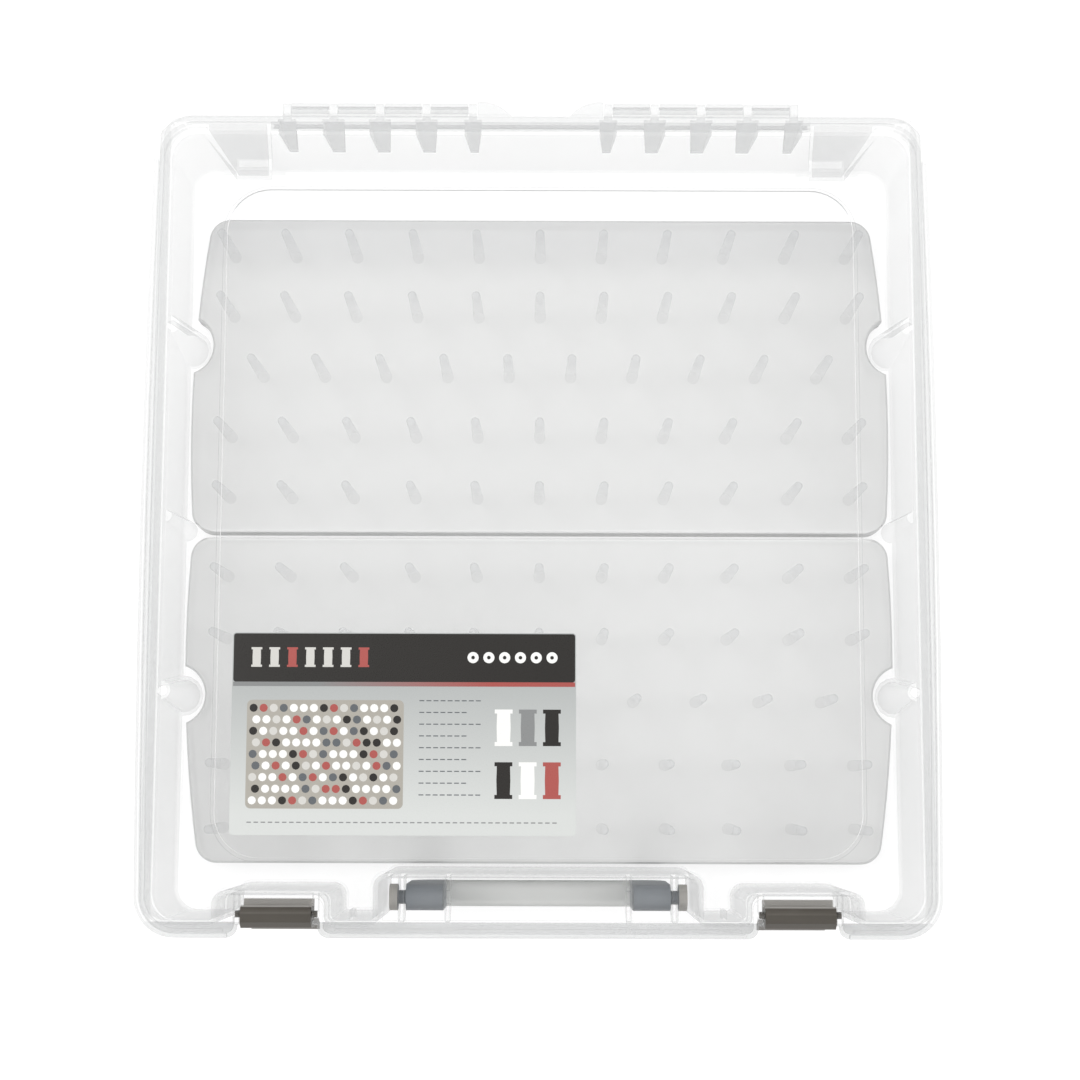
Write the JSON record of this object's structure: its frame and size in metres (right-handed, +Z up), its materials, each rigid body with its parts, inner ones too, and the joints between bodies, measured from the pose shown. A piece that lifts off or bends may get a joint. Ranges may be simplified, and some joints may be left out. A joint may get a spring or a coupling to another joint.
{
  "type": "embroidery thread box",
  "caption": "Translucent hinged carry case for thread spools, with lift-out peg trays, snap latches and a folding front handle.",
  "frame": {"origin": "middle of the closed case, on the flat pad it rests on", "axes": "+X to the right seen from the handle side, +Y towards the hinge, +Z up"},
  "size_m": [0.356, 0.377, 0.089],
  "materials": {
    "frosted_shell": "frosted translucent polypropylene",
    "dark_grey_plastic": "moulded dark warm grey",
    "slate_plastic": "moulded blue-grey",
    "grip_plastic": "moulded light grey",
    "milky_tray": "milky translucent polypropylene",
    "printed_label": "printed plastic sticker"
  },
  "bodies": {
    "base": {"base": "frosted_shell"},
    "lid": {"lid": "frosted_shell", "label": "printed_label"},
    "latch_left": {"latch_left": "dark_grey_plastic"},
    "latch_right": {"latch_right": "dark_grey_plastic"},
    "handle": {"handle_arm_left": "slate_plastic", "handle_arm_right": "slate_plastic", "handle_grip": "grip_plastic"},
    "upper_tray": {"upper_tray": "milky_tray", "upper_tray_pegs": "milky_tray"},
    "lower_tray": {"lower_tray": "milky_tray", "lower_tray_pegs": "milky_tray"}
  },
  "joints": [
    {"name": "lid_hinge", "type": "hinge", "parent": "base", "child": "lid", "pos_m": [0, 0.1888, 0.057], "axis": [-1, 0, 0], "range_deg": [0, 115]},
    {"name": "latch_left_pivot", "type": "hinge", "parent": "lid", "child": "latch_left", "pos_m": [-0.1135, -0.1745, 0.0638], "axis": [-1, 0, 0], "range_deg": [0, 100]},
    {"name": "latch_right_pivot", "type": "hinge", "parent": "lid", "child": "latch_right", "pos_m": [0.1135, -0.1745, 0.0638], "axis": [-1, 0, 0], "range_deg": [0, 100]},
    {"name": "handle_pivot", "type": "hinge", "parent": "base", "child": "handle", "pos_m": [0, -0.168, 0.0465], "axis": [-1, 0, 0], "range_deg": [0, 90]},
    {"name": "upper_tray_lift", "type": "slide", "parent": "base", "child": "upper_tray", "axis": [0, 0, 1], "range_m": [0, 0.025]},
    {"name": "lower_tray_lift", "type": "slide", "parent": "base", "child": "lower_tray", "axis": [0, 0, 1], "range_m": [0, 0.025]}
  ]
}
